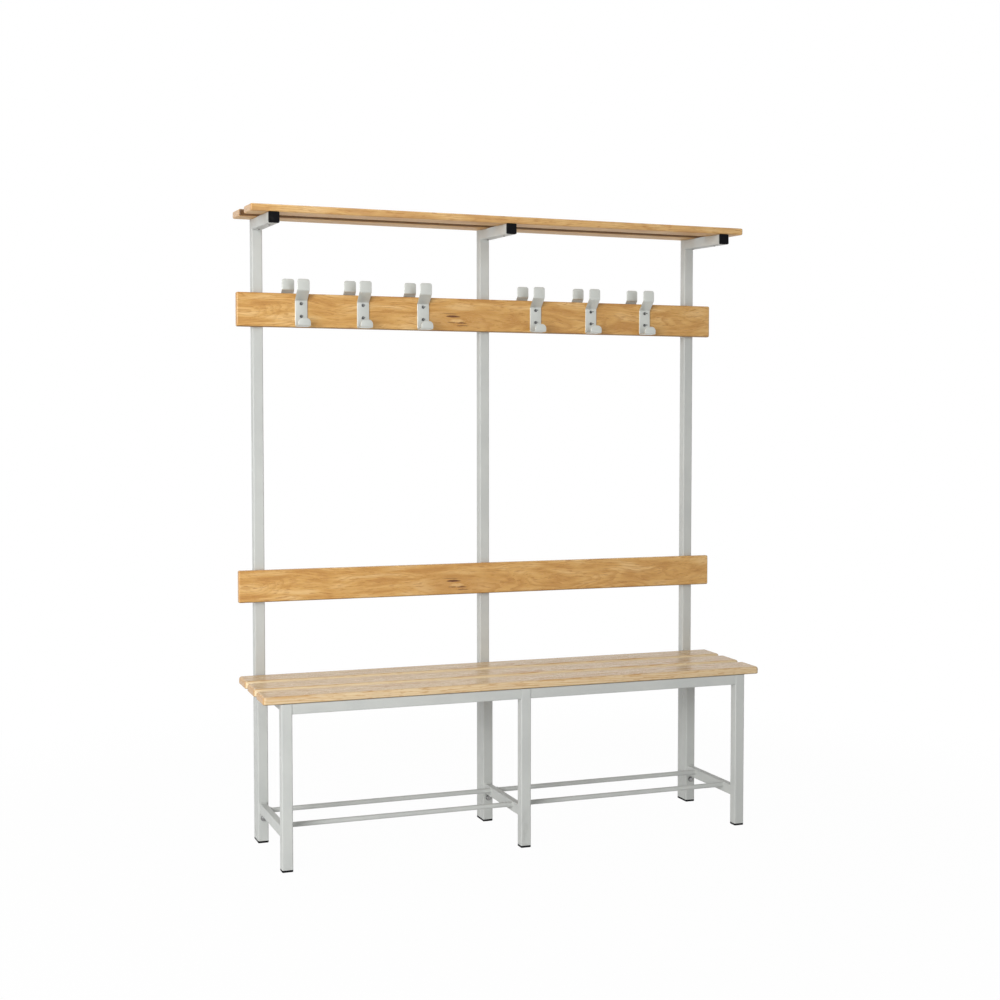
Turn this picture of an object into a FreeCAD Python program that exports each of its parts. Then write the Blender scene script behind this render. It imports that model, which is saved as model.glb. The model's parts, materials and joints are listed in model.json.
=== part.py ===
import FreeCAD, Part
import math
import os

# Changing room bench: slatted seat, backrest board, two rows of coat hooks and slatted shelf on a frame
# of steel tube. Millimetres, Z up, X along the bench. Depths are set out from the front face of the
# front legs, and the finished bench is then centred over its own outline.

Vector = FreeCAD.Vector
X_AXIS = Vector(1, 0, 0)
Y_AXIS = Vector(0, 1, 0)
Z_AXIS = Vector(0, 0, 1)
FORWARD = Vector(0, -1, 0)
ORIGIN = Vector(0, 0, 0)

# Layout of the bench; the heights of seat and shelf are those of their front edges, and both slope up
# to the back by degrees
bench_length = 1500.0
plank_overhang = 63.5
seat_height = 475.0
seat_slope = 1.25
backrest_above_seat = 217.0
shelf_height = 1792.0
shelf_slope = 2.0
hook_board_below_shelf = 316.5
rear_hook_board_lift = 3.5

# Planks
plank_width = 95.0
backrest_width = 92.0
hook_board_width = 97.0
seat_thickness = 21.5
shelf_thickness = 20.0
board_thickness = 20.0
seat_corner_radius = 8.5
seat_upper_radius = 8.0
seat_lower_radius = 4.0
plank_edge_radius = 5.0
plank_end_radius = 4.0
seat_slat_count = 3
seat_slat_gap = 26.0
shelf_slat_gap = 66.0
seat_back_clearance = 4.0

# Steel tubes and rods
leg_size = 30.0
upright_width = 30.0
upright_depth = 30.0
arm_height = 30.0
rail_size = 28.5
upper_cross_height = 20.0
lower_cross_height = 30.0
lower_cross_width = 20.0
lower_cross_centre = 100.0
tube_wall = 1.5
tube_inner_radius = 1.5
rod_diameter = 14.0
rod_centre = 107.0
rod_inset = 82.0

# Plastic feet and end caps, each with a block that plugs into its tube
foot_height = 6.0
cap_thickness = 5.0
cap_edge_radius = 1.0
plug_length = 10.0
plug_clearance = 0.2

# Coat hooks, each bent from one steel strip; the rear row has no lower prong
hook_width = 36.0
hook_thickness = 3.0
hook_plate_height = 75.0
hook_neck_rise = 28.0
hook_neck_reach = 29.0
hook_tip_height = 31.0
hook_prong_reach = 44.0
hook_prong_rise = 23.0
hook_neck_bend_radius = 7.0
hook_prong_bend_radius = 4.0
hook_tip_corner_radius = 7.0
hook_prong_corner_radius = 13.0
hook_above_board_edge = 2.0
rear_hook_cut = 15.0
rear_hooks_shift = -33.0

# Hooks along each bay, with the outer ones set out from the middles of the frames beside them
hooks_per_bay = 3
left_bay_first_hook = 121.25
left_bay_last_hook = 200.25
right_bay_first_hook = 156.25
right_bay_last_hook = 165.25

# Round-head screws that hold the hooks
hook_screw_diameter = 5.0
hook_screw_head_diameter = 9.5
hook_screw_head_height = 3.6
hook_screw_bite = 15.0
hook_screw_tip = 4.0
hook_screw_low = 30.0
hook_screw_below_neck = 9.0

# Frame bolts through rear leg and upright
frame_bolt_diameter = 8.0
frame_bolt_head_width = 13.0
frame_bolt_head_height = 5.5
frame_nut_height = 6.5
frame_washer_diameter = 16.0
frame_washer_thickness = 1.6
bolt_below_cross_rail = 13.0
bolt_end = 2.0
hexagon_chamfer = 0.4
hexagon_chamfer_angle = math.radians(30)

# Wood screws: from inside the tubes into seat and front boards, or right through an arm or the rear board
screw_diameter = 4.5
screw_head_diameter = 8.0
screw_head_height = 2.6
screw_bite = 14.0
screw_tip = 4.0
screw_access_diameter = 10.0
shelf_screw_inset = 35.0
board_screw_spacing = 50.0
rear_board_screw_spacing = 24.0
rear_board_screw_end = 6.0

# Clearances round fasteners
shank_clearance = 0.25
thread_clearance = 0.1

# How closely an edge or a face has to agree with a direction or a height to be picked
same_direction = 0.999
same_place = 0.001
fillet_room = 0.2

# Depths, measured back from the front face of the front legs
seat_depth = seat_slat_count * plank_width + (seat_slat_count - 1) * seat_slat_gap
upright_front = seat_depth + seat_back_clearance
upright_back = upright_front + upright_depth
rear_leg_front = upright_front - leg_size
shelf_depth = 2 * plank_width + shelf_slat_gap
shelf_front = upright_back - shelf_depth
board_front = upright_front - board_thickness
rear_board_back = upright_back + board_thickness

# Heights; those of the seat's rails and of the shelf arms are at their front ends
leg_top = seat_height - seat_thickness
seat_rise = upright_front * math.tan(math.radians(seat_slope))
backrest_bottom = seat_height + backrest_above_seat
hook_board_bottom = shelf_height - hook_board_below_shelf
rear_hook_board_bottom = hook_board_bottom + rear_hook_board_lift
arm_top = shelf_height - shelf_thickness
arm_bottom = arm_top - arm_height
upright_top = arm_top + shelf_depth * math.tan(math.radians(shelf_slope))
lower_cross_bottom = lower_cross_centre - lower_cross_height / 2
upper_cross_bottom = leg_top - upper_cross_height
frame_bolt_heights = [bottom - bolt_below_cross_rail for bottom in (lower_cross_bottom, upper_cross_bottom)]
front_hook_bottom = hook_board_bottom + hook_above_board_edge
rear_hook_bottom = rear_hook_board_bottom + hook_above_board_edge
hook_screw_high = hook_plate_height - hook_screw_below_neck

# Places along the bench
frame_pitch = bench_length / 2 - plank_overhang
frame_names = ["left", "middle", "right"]
frame_places = [-frame_pitch, 0.0, frame_pitch]
bay_names = ["left", "right"]
bay_places = [-frame_pitch / 2, frame_pitch / 2]
hook_spans = [(left_bay_first_hook - frame_pitch, -left_bay_last_hook),
              (right_bay_first_hook, frame_pitch - right_bay_last_hook)]
hook_shares = [number / (hooks_per_bay - 1) for number in range(hooks_per_bay)]
front_hook_places = [first + share * (last - first) for first, last in hook_spans for share in hook_shares]
rear_hook_places = [place + rear_hooks_shift for place in front_hook_places]
rear_hook_board_length = 2 * frame_pitch + upright_width

# Outline of the whole bench, front to back
bolt_stack = frame_washer_thickness + frame_nut_height + bolt_end
outline_back = max(upright_back + bolt_stack, rear_board_back + screw_head_height)
outline_middle = outline_back / 2

nodes = {}


def along(edge, axis):
    direction = edge.Vertexes[-1].Point.sub(edge.Vertexes[0].Point)
    return abs(direction.dot(axis)) > same_direction * direction.Length


def rounded_box(low, high, axis, radius):
    size = high.sub(low)
    box = Part.makeBox(size.x, size.y, size.z, low)
    return box.makeFillet(radius, [edge for edge in box.Edges if along(edge, axis)])


def across(axis, distance):
    # The distance in both directions square to an axis.
    return Vector(1, 1, 1).sub(axis).multiply(distance)


def tube(low, high, axis):
    wall = across(axis, tube_wall)
    bore = rounded_box(low.add(wall), high.sub(wall), axis, tube_inner_radius)
    return rounded_box(low, high, axis, tube_inner_radius + tube_wall).cut(bore)


def drill(diameter, start, end):
    reach = end.sub(start)
    return Part.makeCylinder(diameter / 2, reach.Length, start, reach)


def plank(low, high):
    stick = rounded_box(low, high, X_AXIS, plank_edge_radius)
    ends = [face for face in stick.Faces if abs(face.normalAt(0, 0).x) > same_direction]
    return stick.makeFillet(plank_end_radius, [edge for face in ends for edge in face.Edges])


def seat_plank(low, high):
    # Corners rounded in plan, then the upper edge well rounded and the lower one just eased, all round.
    stick = rounded_box(low, high, Z_AXIS, seat_corner_radius)
    for upward, radius in ((1, seat_upper_radius), (-1, seat_lower_radius)):
        broad = [face for face in stick.Faces if upward * face.normalAt(0, 0).z > same_direction]
        stick = stick.makeFillet(radius, broad[0].Edges)
    return stick


def round_head_screw(diameter, length, head_diameter, head_height, tip):
    # Seat of the head at Z 0, domed head above it, shank below it with a tapered tip.
    radius = diameter / 2
    head_radius = head_diameter / 2
    dome_radius = (head_radius ** 2 + head_height ** 2) / (2 * head_height)
    half_turn = math.atan2(head_radius, dome_radius - head_height) / 2
    crown = Vector(0, 0, head_height)
    rim = Vector(head_radius, 0, 0)
    dome_centre = head_height - dome_radius
    swell = Vector(dome_radius * math.sin(half_turn), 0, dome_centre + dome_radius * math.cos(half_turn))
    corners = [crown, Vector(0, 0, -length), Vector(radius / 2, 0, -length),
               Vector(radius, 0, tip - length), Vector(radius, 0, 0), rim]
    outline = Part.Wire([Part.Arc(rim, swell, crown).toShape()] + Part.makePolygon(corners).Edges)
    return Part.Face(outline).revolve(ORIGIN, Z_AXIS, 360)


def hexagon(width, height):
    # Six flats on a seat at Z 0, with the upper corners turned off by a shallow cone.
    corner = width / math.sqrt(3)
    turns = [math.radians(60 * step) for step in range(7)]
    points = [Vector(corner * math.cos(turn), corner * math.sin(turn), 0) for turn in turns]
    prism = Part.Face(Part.makePolygon(points)).extrude(Vector(0, 0, height))
    crown = width / 2 - hexagon_chamfer
    cone = Part.makeCone(crown + height / math.tan(hexagon_chamfer_angle), crown, height)
    return prism.common(cone)


def hexagon_nut():
    hole = Part.makeCylinder(frame_bolt_diameter / 2 + thread_clearance, frame_nut_height)
    return hexagon(frame_bolt_head_width, frame_nut_height).cut(hole)


def hexagon_bolt(length):
    shank = Part.makeCylinder(frame_bolt_diameter / 2, length, ORIGIN, Vector(0, 0, -1))
    return hexagon(frame_bolt_head_width, frame_bolt_head_height).fuse(shank).removeSplitter()


def washer():
    disc = Part.makeCylinder(frame_washer_diameter / 2, frame_washer_thickness)
    hole = Part.makeCylinder(frame_bolt_diameter / 2 + shank_clearance, frame_washer_thickness)
    return disc.cut(hole)


def placed(shape, tilt, place):
    # Tilt about X: 90 turns a head to the front, -90 to the back, 180 downwards.
    copy = shape.copy()
    copy.rotate(ORIGIN, X_AXIS, tilt)
    copy.translate(place)
    return copy


def group(shape, tilt, places):
    return Part.makeCompound([placed(shape, tilt, place) for place in places])


def frame_bolt_hole(x, height):
    diameter = frame_bolt_diameter + 2 * shank_clearance
    return drill(diameter, Vector(x, rear_leg_front, height), Vector(x, upright_back, height))


def turned(shape, y, height, slope):
    # A copy turned about a line along the bench at a depth and a height, so that its back rises.
    copy = shape.copy()
    copy.rotate(Vector(0, y, height), X_AXIS, slope)
    return copy


def leaned_with_seat(shape):
    # The seat and the rails under it are made level, then turned about the top front edge of the legs.
    return turned(shape, 0, leg_top, seat_slope)


def room_for_seat(x):
    # The space over one frame's legs that the sloping seat takes up.
    corner = Vector(x - leg_size, 0, leg_top)
    return leaned_with_seat(Part.makeBox(2 * leg_size, 2 * upright_front, 2 * seat_rise, corner))


def legs(name, x):
    half = leg_size / 2
    top = leg_top + seat_rise
    front = tube(Vector(x - half, 0, foot_height), Vector(x + half, leg_size, top), Z_AXIS)
    rear_low = Vector(x - half, rear_leg_front, foot_height)
    rear = tube(rear_low, Vector(x + half, upright_front, top), Z_AXIS)
    for height in frame_bolt_heights:
        rear = rear.cut(frame_bolt_hole(x, height))
    nodes["front_leg_" + name] = front.cut(room_for_seat(x))
    nodes["rear_leg_" + name] = rear.cut(room_for_seat(x))


def screw_way(outer, inward, depth):
    # A wide access hole in a tube's outer wall, and a screw hole on through the wall opposite.
    access_end = outer.add(Vector(inward).multiply(2 * tube_wall))
    hole_end = outer.add(Vector(inward).multiply(depth))
    access = drill(screw_access_diameter, outer, access_end)
    return access.fuse(drill(screw_diameter + 2 * shank_clearance, outer, hole_end))


def seat_slat_front(slat):
    return slat * (plank_width + seat_slat_gap)


def seat_screw_depths():
    return [seat_slat_front(slat) + plank_width / 2 for slat in range(seat_slat_count)]


def cross_rails(name, x):
    half = leg_size / 2
    upper_low = Vector(x - half, 0, upper_cross_bottom)
    upper = tube(upper_low, Vector(x + half, upright_front, leg_top), Y_AXIS)
    for y in seat_screw_depths():
        upper = upper.cut(screw_way(Vector(x, y, upper_cross_bottom), Z_AXIS, upper_cross_height))
    between_low = Vector(x - leg_size, leg_size, 0)
    between = Part.makeBox(2 * leg_size, rear_leg_front - leg_size, shelf_height, between_low)
    half = lower_cross_width / 2
    lower_low = Vector(x - half, leg_size, lower_cross_bottom)
    lower_high = Vector(x + half, rear_leg_front, lower_cross_bottom + lower_cross_height)
    nodes["upper_cross_rail_" + name] = leaned_with_seat(upper).common(between)
    nodes["lower_cross_rail_" + name] = tube(lower_low, lower_high, Y_AXIS)


def long_rails(name, x):
    reach = (frame_pitch - leg_size) / 2
    places = {"front_rail_": 0.0, "rear_rail_": upright_front - rail_size}
    for kind, y in places.items():
        low = Vector(x - reach, y, leg_top - rail_size)
        high = Vector(x + reach, y + rail_size, leg_top)
        nodes[kind + name] = leaned_with_seat(tube(low, high, X_AXIS))


def shoe_rods(name, x):
    reach = (frame_pitch - lower_cross_width) / 2
    places = {"front_shoe_rod_": rod_inset, "rear_shoe_rod_": upright_front - rod_inset}
    for kind, y in places.items():
        start = Vector(x - reach, y, rod_centre)
        nodes[kind + name] = drill(rod_diameter, start, Vector(x + reach, y, rod_centre))


def board_screw_heights(bottom, width, spacing):
    middle = bottom + width / 2
    return [middle - spacing / 2, middle + spacing / 2]


def front_board_screw_heights():
    backrest = board_screw_heights(backrest_bottom, backrest_width, board_screw_spacing)
    return backrest + board_screw_heights(hook_board_bottom, hook_board_width, board_screw_spacing)


def rear_board_screw_heights():
    # Between the access holes behind the front hook board.
    return board_screw_heights(hook_board_bottom, hook_board_width, rear_board_screw_spacing)


def leaned_with_shelf(shape):
    # The shelf's pieces are made level, then turned about the lower front edge of the front slat.
    return turned(shape, shelf_front, arm_top, shelf_slope)


def room_for_shelf(x):
    # The space over one upright that the sloping shelf takes up.
    corner = Vector(x - upright_width / 2, shelf_front, arm_top)
    return leaned_with_shelf(Part.makeBox(upright_width, 2 * shelf_depth, shelf_thickness, corner))


def upright(name, x):
    half = upright_width / 2
    low = Vector(x - half, upright_front, foot_height)
    post = tube(low, Vector(x + half, upright_back, upright_top), Z_AXIS).cut(room_for_shelf(x))
    for height in frame_bolt_heights:
        post = post.cut(frame_bolt_hole(x, height))
    for height in front_board_screw_heights():
        post = post.cut(screw_way(Vector(x, upright_back, height), FORWARD, upright_depth))
    for height in rear_board_screw_heights():
        post = post.cut(pilot_hole(Vector(x, upright_back, height), FORWARD, screw_diameter, tube_wall))
    nodes["upright_" + name] = post


def shelf_screw_depths():
    return [shelf_front + plank_width - shelf_screw_inset, upright_back - plank_width + shelf_screw_inset]


def shelf_arm(name, x):
    half = upright_width / 2
    low = Vector(x - half, shelf_front + cap_thickness, arm_bottom)
    arm = tube(low, Vector(x + half, upright_back, arm_top), Y_AXIS)
    for y in shelf_screw_depths():
        diameter = screw_diameter + 2 * shank_clearance
        arm = arm.cut(drill(diameter, Vector(x, y, arm_bottom), Vector(x, y, arm_top)))
    behind = Vector(x - half, upright_front, 0)
    spare_end = Part.makeBox(upright_width, 2 * upright_depth, upright_top + arm_height, behind)
    nodes["shelf_arm_" + name] = leaned_with_shelf(arm).cut(spare_end)


def tube_plug(low, high, axis):
    # A flange over a tube's end, and a block behind it that fits inside the tube.
    inset = across(axis, tube_wall + plug_clearance)
    block_high = high.sub(inset).add(Vector(axis).multiply(plug_length))
    block = rounded_box(low.add(inset), block_high, axis, tube_inner_radius)
    flange = rounded_box(low, high, axis, tube_inner_radius + tube_wall)
    outer = [face for face in flange.Faces if face.normalAt(0, 0).dot(axis) < -same_direction]
    flange = flange.makeFillet(cap_edge_radius, outer[0].Edges)
    return flange.fuse(block).removeSplitter()


def foot(x, y, width, depth):
    low = Vector(x - width / 2, y, 0)
    return tube_plug(low, Vector(x + width / 2, y + depth, foot_height), Z_AXIS)


def feet(name, y, width, depth):
    nodes[name] = Part.makeCompound([foot(x, y, width, depth) for x in frame_places])


def arm_end_cap(name, x):
    half = upright_width / 2
    low = Vector(x - half, shelf_front, arm_bottom)
    high = Vector(x + half, shelf_front + cap_thickness, arm_top)
    nodes["arm_end_cap_" + name] = leaned_with_shelf(tube_plug(low, high, Y_AXIS))


def pilot_hole(place, direction, diameter, bite):
    depth = Vector(direction).multiply(bite + thread_clearance)
    return drill(diameter + 2 * thread_clearance, place, place.add(depth))


def flat_plank(make, y, bottom, thickness, screw_y):
    low = Vector(-bench_length / 2, y, bottom)
    board = make(low, Vector(bench_length / 2, y + plank_width, bottom + thickness))
    for x in frame_places:
        board = board.cut(pilot_hole(Vector(x, screw_y, bottom), Z_AXIS, screw_diameter, screw_bite))
    return board


def seat_slats():
    for slat, screw_y in enumerate(seat_screw_depths()):
        board = flat_plank(seat_plank, seat_slat_front(slat), leg_top, seat_thickness, screw_y)
        nodes["seat_slat_%d" % (slat + 1)] = leaned_with_seat(board)


def shelf_slats():
    fronts = {"front_shelf_slat": shelf_front, "rear_shelf_slat": upright_back - plank_width}
    for (name, y), screw_y in zip(fronts.items(), shelf_screw_depths()):
        nodes[name] = leaned_with_shelf(flat_plank(plank, y, arm_top, shelf_thickness, screw_y))


def front_board(name, bottom, width):
    low = Vector(-bench_length / 2, board_front, bottom)
    board = plank(low, Vector(bench_length / 2, upright_front, bottom + width))
    for x in frame_places:
        for height in board_screw_heights(bottom, width, board_screw_spacing):
            place = Vector(x, upright_front, height)
            board = board.cut(pilot_hole(place, FORWARD, screw_diameter, screw_bite))
    nodes[name] = board


def rear_board():
    reach = rear_hook_board_length / 2
    low = Vector(-reach, upright_back, rear_hook_board_bottom)
    high = Vector(reach, rear_board_back, rear_hook_board_bottom + plank_width)
    board = plank(low, high)
    diameter = screw_diameter + 2 * shank_clearance
    for x in frame_places:
        for height in rear_board_screw_heights():
            start = Vector(x, upright_back, height)
            board = board.cut(drill(diameter, start, Vector(x, rear_board_back, height)))
    nodes["rear_hook_board"] = board


def hook_screw_seats(hook_places, y, hook_bottom):
    heights = [hook_bottom + hook_screw_low, hook_bottom + hook_screw_high]
    return [Vector(x, y, height) for x in hook_places for height in heights]


def drill_for_hooks(name, seats):
    for seat in seats:
        nodes[name] = nodes[name].cut(pilot_hole(seat, Y_AXIS, hook_screw_diameter, hook_screw_bite))


def bent_path(points, radii):
    # Straight runs through the points, with each inner corner rounded by its own radius.
    edges = []
    start = points[0]
    for before, corner, after, radius in zip(points, points[1:], points[2:], radii):
        inward = before.sub(corner).normalize()
        outward = after.sub(corner).normalize()
        half_angle = inward.getAngle(outward) / 2
        setback = radius / math.tan(half_angle)
        first = corner.add(Vector(inward).multiply(setback))
        last = corner.add(Vector(outward).multiply(setback))
        bisector = inward.add(outward).normalize()
        middle = corner.add(bisector.multiply(radius / math.sin(half_angle) - radius))
        edges.append(Part.LineSegment(start, first).toShape())
        edges.append(Part.Arc(first, middle, last).toShape())
        start = last
    edges.append(Part.LineSegment(start, points[-1]).toShape())
    return Part.Wire(edges)


def corner_edges(strip, height):
    edges = [edge for edge in strip.Edges if along(edge, Y_AXIS)]
    return [edge for edge in edges if abs(edge.CenterOfMass.z - height) < same_place]


def bent_hook(lower_points, lower_radii, lower_corner_radius):
    # Back of the plate on Y 0, tip towards -Y. The lower points lead up to the plate from the strip's end.
    half = hook_thickness / 2
    tip = hook_neck_reach + half
    tip_bend = hook_plate_height + hook_neck_rise
    top = tip_bend + hook_tip_height
    upper_points = [Vector(0, -half, hook_plate_height), Vector(0, -tip, tip_bend), Vector(0, -tip, top)]
    upper_radii = [hook_neck_bend_radius, hook_neck_bend_radius]
    start = lower_points[0]
    corner = start.sub(Vector(hook_width / 2, half, 0))
    section = Part.makePlane(hook_width, hook_thickness, corner).OuterWire
    path = bent_path(lower_points + upper_points, lower_radii + upper_radii)
    strip = path.makePipeShell([section], True, False)
    strip = strip.makeFillet(hook_tip_corner_radius, corner_edges(strip, top))
    strip = strip.makeFillet(lower_corner_radius, corner_edges(strip, start.z))
    hole = hook_screw_diameter + 2 * shank_clearance
    for height in (hook_screw_low, hook_screw_high):
        strip = strip.cut(drill(hole, Vector(0, -hook_thickness, height), Vector(0, 0, height)))
    return strip


def front_hook():
    # The lower end turns forward and up as a prong, with its lowest point at Z 0.
    half = hook_thickness / 2
    prong = hook_prong_reach - half
    points = [Vector(0, -prong, hook_prong_rise), Vector(0, -prong, half), Vector(0, -half, half)]
    run = hook_prong_rise - half - hook_prong_bend_radius
    corner = min(hook_prong_corner_radius, run - fillet_room, hook_width / 2 - fillet_room)
    return bent_hook(points, [hook_prong_bend_radius] * 2, corner)


def rear_hook():
    # The plate is cut off short, because the front board stands close before it.
    return bent_hook([Vector(0, -hook_thickness / 2, rear_hook_cut)], [], hook_tip_corner_radius)


def hook_row(name, pattern, places, y, board, bottom):
    for number, x in enumerate(places, 1):
        nodes["%s_hook_%d" % (name, number)] = placed(pattern, 0, Vector(x, y, bottom))
    drill_for_hooks(board, hook_screw_seats(places, y, bottom))
    screw = round_head_screw(hook_screw_diameter, hook_thickness + hook_screw_bite,
                             hook_screw_head_diameter, hook_screw_head_height, hook_screw_tip)
    nodes[name + "_hook_screws"] = group(screw, 90, hook_screw_seats(places, y - hook_thickness, bottom))


def frame_fasteners():
    front = rear_leg_front - frame_washer_thickness
    back = upright_back + frame_washer_thickness
    places = [(x, height) for x in frame_places for height in frame_bolt_heights]
    bolt = hexagon_bolt(back - front + frame_nut_height + bolt_end)
    front_washers = group(washer(), 90, [Vector(x, rear_leg_front, height) for x, height in places])
    back_washers = group(washer(), -90, [Vector(x, upright_back, height) for x, height in places])
    nodes["frame_bolts"] = group(bolt, 90, [Vector(x, front, height) for x, height in places])
    nodes["frame_nuts"] = group(hexagon_nut(), -90, [Vector(x, back, height) for x, height in places])
    nodes["frame_washers"] = Part.makeCompound(front_washers.Solids + back_washers.Solids)


def wood_screw(length):
    return round_head_screw(screw_diameter, length, screw_head_diameter, screw_head_height, screw_tip)


def wood_screws():
    screw = wood_screw(tube_wall + screw_bite)
    seat = [Vector(x, y, leg_top - tube_wall) for x in frame_places for y in seat_screw_depths()]
    arm_screw = wood_screw(arm_height + screw_bite)
    shelf = [Vector(x, y, arm_bottom) for x in frame_places for y in shelf_screw_depths()]
    inner_wall = upright_front + tube_wall
    front_heights = front_board_screw_heights()
    boards = [Vector(x, inner_wall, height) for x in frame_places for height in front_heights]
    long_screw = wood_screw(board_thickness + tube_wall + rear_board_screw_end)
    rear_heights = rear_board_screw_heights()
    rear = [Vector(x, rear_board_back, height) for x in frame_places for height in rear_heights]
    board_group = group(screw, -90, boards).Solids + group(long_screw, -90, rear).Solids
    nodes["seat_screws"] = leaned_with_seat(group(screw, 180, seat))
    nodes["shelf_screws"] = leaned_with_shelf(group(arm_screw, 180, shelf))
    nodes["board_screws"] = Part.makeCompound(board_group)


for frame_name, frame_x in zip(frame_names, frame_places):
    legs(frame_name, frame_x)
    cross_rails(frame_name, frame_x)
    upright(frame_name, frame_x)
    shelf_arm(frame_name, frame_x)
    arm_end_cap(frame_name, frame_x)

for bay_name, bay_x in zip(bay_names, bay_places):
    long_rails(bay_name, bay_x)
    shoe_rods(bay_name, bay_x)

feet("front_leg_feet", 0.0, leg_size, leg_size)
feet("rear_leg_feet", rear_leg_front, leg_size, leg_size)
feet("upright_feet", upright_front, upright_width, upright_depth)
seat_slats()
shelf_slats()
front_board("backrest_board", backrest_bottom, backrest_width)
front_board("hook_board", hook_board_bottom, hook_board_width)
rear_board()
hook_row("front", front_hook(), front_hook_places, board_front, "hook_board", front_hook_bottom)
hook_row("rear", rear_hook(), rear_hook_places, upright_back, "rear_hook_board", rear_hook_bottom)
frame_fasteners()
wood_screws()

os.makedirs("parts", exist_ok=True)
for node_name, shape in nodes.items():
    shape.translate(Vector(0, -outline_middle, 0))
    shape.exportStep("parts/" + node_name + ".step")
print(len(nodes), "nodes")
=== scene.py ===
import bpy
import json
import math
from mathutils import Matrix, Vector

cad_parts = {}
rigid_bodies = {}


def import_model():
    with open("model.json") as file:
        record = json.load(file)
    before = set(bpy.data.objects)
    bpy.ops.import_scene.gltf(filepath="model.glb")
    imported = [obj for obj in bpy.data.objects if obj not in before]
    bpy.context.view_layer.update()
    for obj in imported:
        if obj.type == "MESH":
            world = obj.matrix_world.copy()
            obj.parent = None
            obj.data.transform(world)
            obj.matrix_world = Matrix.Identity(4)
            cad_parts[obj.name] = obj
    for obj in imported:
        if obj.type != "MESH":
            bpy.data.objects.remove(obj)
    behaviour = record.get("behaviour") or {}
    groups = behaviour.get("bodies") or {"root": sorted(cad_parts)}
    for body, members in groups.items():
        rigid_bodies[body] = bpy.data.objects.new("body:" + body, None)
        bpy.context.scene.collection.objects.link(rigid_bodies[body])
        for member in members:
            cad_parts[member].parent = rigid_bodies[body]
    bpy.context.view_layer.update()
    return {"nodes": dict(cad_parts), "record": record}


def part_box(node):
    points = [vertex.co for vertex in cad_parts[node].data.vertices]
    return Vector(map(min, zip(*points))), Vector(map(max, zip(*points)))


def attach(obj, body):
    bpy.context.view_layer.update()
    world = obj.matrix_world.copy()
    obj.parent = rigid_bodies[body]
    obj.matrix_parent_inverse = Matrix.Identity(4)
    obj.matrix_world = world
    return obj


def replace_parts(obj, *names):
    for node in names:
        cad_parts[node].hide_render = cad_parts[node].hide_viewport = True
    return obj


for leftover in list(bpy.data.objects):
    bpy.data.objects.remove(leftover)
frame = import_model()


# Steel frame
# Legs, cross rails, long rails, rods, uprights and shelf arms are steel tube and bar, sawn to length and
# welded up. They are powder coated in one satin light grey, with a fine orange-peel skin that is a little
# uneven in gloss, and scuffed and chipped near the floor where shoes and mops knock it.
frame_grey = (0.585, 0.600, 0.575, 1.0)
frame_grey_thin = (0.545, 0.560, 0.540, 1.0)
scuff_grey = (0.30, 0.30, 0.28, 1.0)
bare_steel = (0.10, 0.085, 0.07, 1.0)
frame_roughness = (0.42, 0.56)
scuff_top = 0.14
scuff_strength = 0.45
chip_top = 0.04
coat_grain_strength = 0.25
peel_depth = 0.0003
peel_strength = 0.12

# Marks in the coat to the metre, and the range of noise in which each kind shows
coat_patches = 9.0
gloss_patches = 40.0
coat_grains = 260.0
scuff_rubs = 34.0
rub_stretch = (1.0, 1.0, 0.45)
coat_chips = 120.0
peel_bumps = 520.0
patch_range = (0.35, 0.65)
rub_range = (0.56, 0.72)
chip_range = (0.75, 0.77)
noise_range = (0.3, 0.7)


def add_node(tree, kind, inputs=None, **options):
    """Add a shader node, set its options, and set or link each input by name or number."""
    added = tree.nodes.new("ShaderNode" + kind)
    for option, value in options.items():
        setattr(added, option, value)
    for socket, value in (inputs or {}).items():
        if isinstance(value, bpy.types.NodeSocket):
            tree.links.new(value, added.inputs[socket])
        else:
            added.inputs[socket].default_value = value
    return added


def new_finish(name):
    """Start a material, and give back its tree, its surface shader and the place on the piece."""
    finish = bpy.data.materials.new(name)
    finish.use_nodes = True
    tree = finish.node_tree
    place = add_node(tree, "TexCoord").outputs["Object"]
    return finish, tree, tree.nodes["Principled BSDF"], place


def calculated(tree, operation, *values):
    return add_node(tree, "Math", dict(enumerate(values)), operation=operation).outputs[0]


def product(tree, first, second):
    return calculated(tree, "MULTIPLY", first, second)


def eased(tree, value, start, end, first=0.0, last=1.0):
    """Run smoothly from one number to another while the value goes from start to end."""
    inputs = {"Value": value, "From Min": start, "From Max": end, "To Min": first, "To Max": last}
    return add_node(tree, "MapRange", inputs, interpolation_type="SMOOTHSTEP").outputs[0]


def cloud(tree, place, scale, detail=2.0, stretch=(1.0, 1.0, 1.0)):
    """Noise of so many patches to the metre, drawn out along the axes where stretch is small."""
    drawn = add_node(tree, "Mapping", {"Vector": place, "Scale": stretch}).outputs[0]
    return add_node(tree, "TexNoise", {"Vector": drawn, "Scale": scale, "Detail": detail})


def blended(tree, share, first, second):
    mix = add_node(tree, "Mix", {0: share, 6: first, 7: second}, data_type="RGBA")
    return mix.outputs[2]


def embossed(tree, surface, height, distance, strength):
    bump = add_node(tree, "Bump", {"Height": height, "Distance": distance, "Strength": strength})
    tree.links.new(bump.outputs[0], surface.inputs["Normal"])


def dress(slot_name, finish):
    """Give a finish to every piece of the frame that the record puts in a material slot."""
    for subpart in frame["record"]["subparts"]:
        if subpart["material_slot"] == slot_name:
            frame["nodes"][subpart["node"]].material_slots[0].material = finish


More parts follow.
